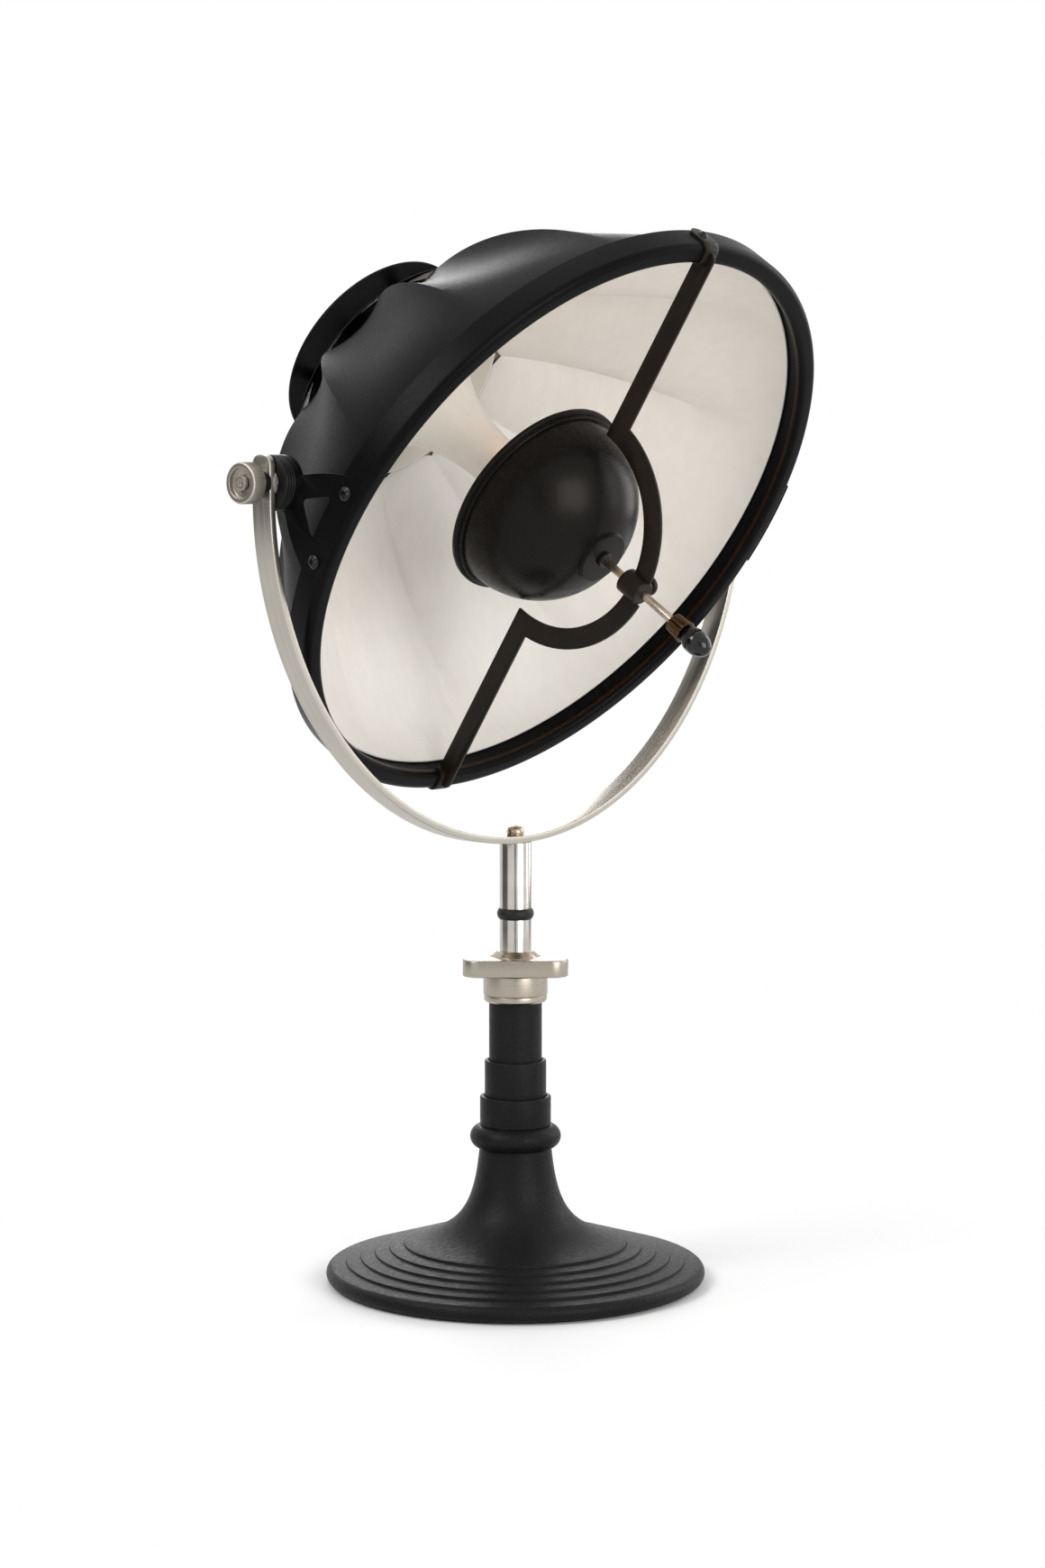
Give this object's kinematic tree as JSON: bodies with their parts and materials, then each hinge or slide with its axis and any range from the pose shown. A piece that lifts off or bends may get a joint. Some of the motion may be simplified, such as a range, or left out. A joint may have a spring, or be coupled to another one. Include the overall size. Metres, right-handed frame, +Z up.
{
  "type": "tabletop searchlight lamp",
  "caption": "Table lamp with a scalloped searchlight head in a U-shaped yoke, a sliding hemispherical glare shield, and a stem that rises and swivels in a turned column.",
  "frame": {"origin": "centre of the foot pad's underside, on the surface the lamp stands on", "axes": "+Z up along the stem, -Y the way the head faces, +X along the tilt axis towards the right knob"},
  "size_m": [0.4816, 0.3222, 0.669],
  "materials": {
    "base_black": "fine textured matte",
    "shade_black": "fine textured satin",
    "hoop_black": "satin, fine texture",
    "reflector_white": "satin",
    "bronze_black": "satin",
    "cup_black": "orange-peel satin",
    "gloss_black": "gloss",
    "satin_nickel": "satin",
    "brushed_nickel": "brushed",
    "polished_nickel": "polished",
    "black_oxide": "black oxide",
    "steel": "plain",
    "brass": "plain",
    "rubber_black": "matte",
    "felt_black": "felt",
    "porcelain": "glazed",
    "frosted_glass": "frosted"
  },
  "bodies": {
    "base": {"base_casting": "base_black", "base_pad": "felt_black", "base_ring": "base_black", "lower_sleeve": "base_black", "upper_sleeve": "base_black", "column_tube": "base_black", "column_washer": "steel", "column_nut": "steel", "collar_seat": "satin_nickel", "collar": "satin_nickel", "guide_bush": "brass", "collet": "satin_nickel"},
    "nut": {"clamp_nut": "satin_nickel"},
    "guide": {"stem_guide": "brass"},
    "stem_yoke": {"stem": "polished_nickel", "stem_clip": "steel", "stem_ring": "rubber_black", "yoke": "brushed_nickel", "yoke_screw": "satin_nickel", "pivot_washers": "steel", "knob_bushes": "black_oxide"},
    "head": {"rim_hoop": "hoop_black", "shade_shell": "shade_black", "shade_lining": "reflector_white", "rear_bulkhead": "shade_black", "rear_dish": "shade_black", "rear_posts": "black_oxide", "post_screws": "black_oxide", "light_cone": "reflector_white", "lampholder": "porcelain", "bulb": "frosted_glass", "crossbar": "bronze_black", "rim_clips": "bronze_black", "clip_screws": "black_oxide", "rod_sleeve": "bronze_black", "left_bracket": "hoop_black", "right_bracket": "hoop_black", "bracket_screws": "black_oxide", "left_spacer": "gloss_black", "right_spacer": "gloss_black", "pivot_studs": "steel", "knob_screws": "satin_nickel", "cable_gland": "gloss_black"},
    "shield": {"shield_rod": "satin_nickel", "shield_cup": "cup_black", "shield_grommet": "rubber_black", "shield_nut": "black_oxide", "ball_ferrule": "bronze_black", "ball_knob": "gloss_black"},
    "shield_screw": {"thumbscrew": "bronze_black"},
    "knob_left": {"left_knob": "satin_nickel"},
    "knob_right": {"right_knob": "satin_nickel"}
  },
  "joints": [
    {"name": "stem_slide", "type": "slide", "parent": "base", "child": "guide", "axis": [0, 0, 1], "range_m": [-0.02, 0.08]},
    {"name": "stem_swivel", "type": "hinge", "parent": "guide", "child": "stem_yoke", "pos_m": [0, 0, 0.2], "axis": [0, 0, 1], "range_deg": [-180, 180]},
    {"name": "head_tilt", "type": "hinge", "parent": "stem_yoke", "child": "head", "pos_m": [0, 0, 0.516], "axis": [1, 0, 0], "range_deg": [-123, 56.5]},
    {"name": "clamp_nut_turn", "type": "hinge", "parent": "base", "child": "nut", "pos_m": [0, 0, 0.2062], "axis": [0, 0, 1], "range_deg": [-90, 180]},
    {"name": "shield_slide", "type": "slide", "parent": "head", "child": "shield", "axis": [0, -0.8347, -0.5508], "range_m": [-0.025, 0.019]},
    {"name": "thumbscrew_turn", "type": "hinge", "parent": "head", "child": "shield_screw", "pos_m": [0, -0.09866, 0.4509], "axis": [1, 0, 0], "range_deg": [-90, 360]},
    {"name": "left_knob_turn", "type": "hinge", "parent": "head", "child": "knob_left", "pos_m": [-0.2356, 0, 0.516], "axis": [1, 0, 0], "range_deg": [-360, 180]},
    {"name": "right_knob_turn", "type": "hinge", "parent": "head", "child": "knob_right", "pos_m": [0.2356, 0, 0.516], "axis": [1, 0, 0], "range_deg": [-180, 360]}
  ]
}
